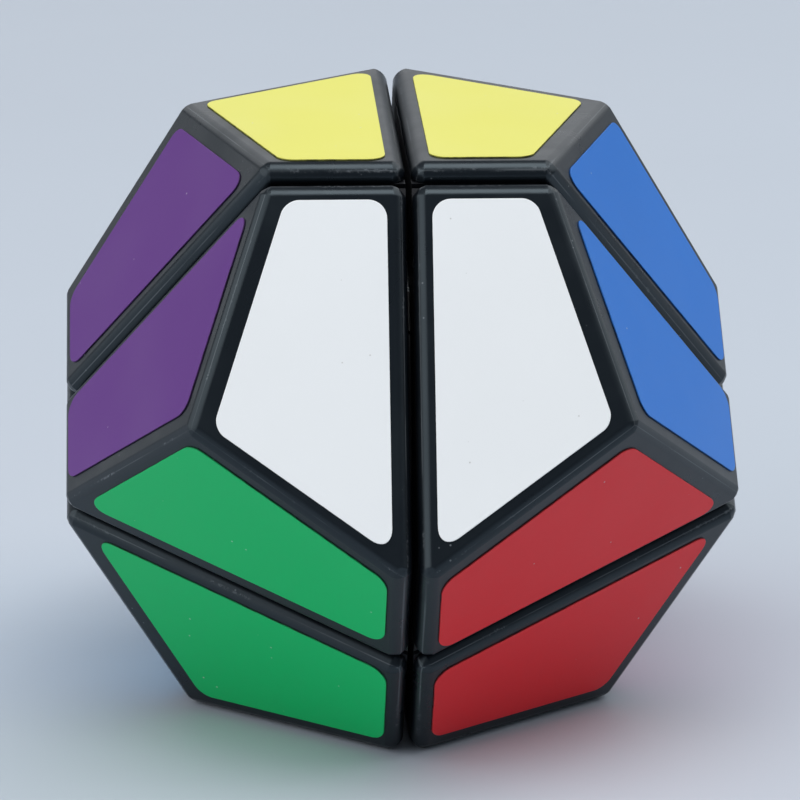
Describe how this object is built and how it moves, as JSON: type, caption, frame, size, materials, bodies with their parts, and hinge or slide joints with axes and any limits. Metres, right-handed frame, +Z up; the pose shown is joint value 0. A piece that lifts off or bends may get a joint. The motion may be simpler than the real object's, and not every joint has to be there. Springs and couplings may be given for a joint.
{
  "type": "dodecahedron twisty puzzle",
  "caption": "Two-layer twisty puzzle in the shape of a dodecahedron: hollow black corner pieces with vinyl stickers turn about a sprung core.",
  "frame": {"origin": "centre of the bottom of the bounding box, on the surface that the puzzle stands on, under the middle of its lowest face", "axes": "+Z up through the middle of the yellow face, +X to the right along the pivot of the left and right caps, +Y away from the viewer of the white face"},
  "size_m": [0.0656, 0.07, 0.0582],
  "materials": {
    "shell_plastic": "black ABS, satin-gloss moulded",
    "base_plastic": "black ABS, moulded",
    "mechanism_plastic": "black nylon, moulded",
    "core_plastic": "natural nylon, moulded",
    "screw_steel": "zinc-plated steel",
    "spring_steel": "drawn spring steel",
    "washer_steel": "stamped steel",
    "yellow_vinyl": "yellow vinyl film",
    "white_vinyl": "white vinyl film",
    "cream_vinyl": "cream vinyl film",
    "grey_vinyl": "grey vinyl film",
    "purple_vinyl": "purple vinyl film",
    "blue_vinyl": "blue vinyl film",
    "light_blue_vinyl": "light blue vinyl film",
    "pink_vinyl": "pink vinyl film",
    "green_vinyl": "green vinyl film",
    "red_vinyl": "red vinyl film",
    "light_green_vinyl": "light green vinyl film",
    "orange_vinyl": "orange vinyl film"
  },
  "bodies": {
    "core": {"core": "core_plastic", "axis_screws": "screw_steel", "spring_washers": "washer_steel", "tension_springs": "spring_steel", "middle_back_right_edge": "mechanism_plastic", "middle_back_left_edge": "mechanism_plastic", "middle_front_right_edge": "mechanism_plastic", "middle_front_left_edge": "mechanism_plastic"},
    "upper_layer": {"upper_cap": "mechanism_plastic", "upper_back_edge": "mechanism_plastic", "upper_front_edge": "mechanism_plastic", "upper_right_edge": "mechanism_plastic", "upper_left_edge": "mechanism_plastic", "upper_front_left_base": "base_plastic", "upper_front_right_base": "base_plastic", "upper_back_left_base": "base_plastic", "upper_back_right_base": "base_plastic", "upper_front_left_shell": "shell_plastic", "upper_front_right_shell": "shell_plastic", "upper_back_left_shell": "shell_plastic", "upper_back_right_shell": "shell_plastic", "yellow_stickers": "yellow_vinyl", "white_stickers": "white_vinyl", "purple_stickers": "purple_vinyl", "blue_stickers": "blue_vinyl", "upper_green_sticker": "green_vinyl", "upper_red_sticker": "red_vinyl", "upper_light_green_sticker": "light_green_vinyl", "upper_orange_sticker": "orange_vinyl"},
    "lower_layer": {"lower_cap": "mechanism_plastic", "lower_back_edge": "mechanism_plastic", "lower_front_edge": "mechanism_plastic", "lower_right_edge": "mechanism_plastic", "lower_left_edge": "mechanism_plastic", "lower_front_left_base": "base_plastic", "lower_front_right_base": "base_plastic", "lower_back_left_base": "base_plastic", "lower_back_right_base": "base_plastic", "lower_front_left_shell": "shell_plastic", "lower_front_right_shell": "shell_plastic", "lower_back_left_shell": "shell_plastic", "lower_back_right_shell": "shell_plastic", "cream_stickers": "cream_vinyl", "grey_stickers": "grey_vinyl", "light_blue_stickers": "light_blue_vinyl", "pink_stickers": "pink_vinyl", "lower_green_sticker": "green_vinyl", "lower_red_sticker": "red_vinyl", "lower_light_green_sticker": "light_green_vinyl", "lower_orange_sticker": "orange_vinyl"},
    "right_cap": {"right_cap": "mechanism_plastic"},
    "left_cap": {"left_cap": "mechanism_plastic"},
    "back_cap": {"back_cap": "mechanism_plastic"},
    "front_cap": {"front_cap": "mechanism_plastic"}
  },
  "joints": [
    {"name": "upper_turn", "type": "hinge", "parent": "core", "child": "upper_layer", "pos_m": [0, 0, 0.0291], "axis": [0, -0.5257, 0.8507], "continuous": true},
    {"name": "lower_turn", "type": "hinge", "parent": "core", "child": "lower_layer", "pos_m": [0, 0, 0.0291], "axis": [0, 0.5257, -0.8507], "continuous": true},
    {"name": "right_cap_spin", "type": "hinge", "parent": "core", "child": "right_cap", "pos_m": [0, 0, 0.0291], "axis": [1, 0, 0], "continuous": true},
    {"name": "left_cap_spin", "type": "hinge", "parent": "core", "child": "left_cap", "pos_m": [0, 0, 0.0291], "axis": [-1, 0, 0], "continuous": true},
    {"name": "back_cap_spin", "type": "hinge", "parent": "core", "child": "back_cap", "pos_m": [0, 0, 0.0291], "axis": [0, 0.8507, 0.5257], "continuous": true},
    {"name": "front_cap_spin", "type": "hinge", "parent": "core", "child": "front_cap", "pos_m": [0, 0, 0.0291], "axis": [0, -0.8507, -0.5257], "continuous": true}
  ]
}
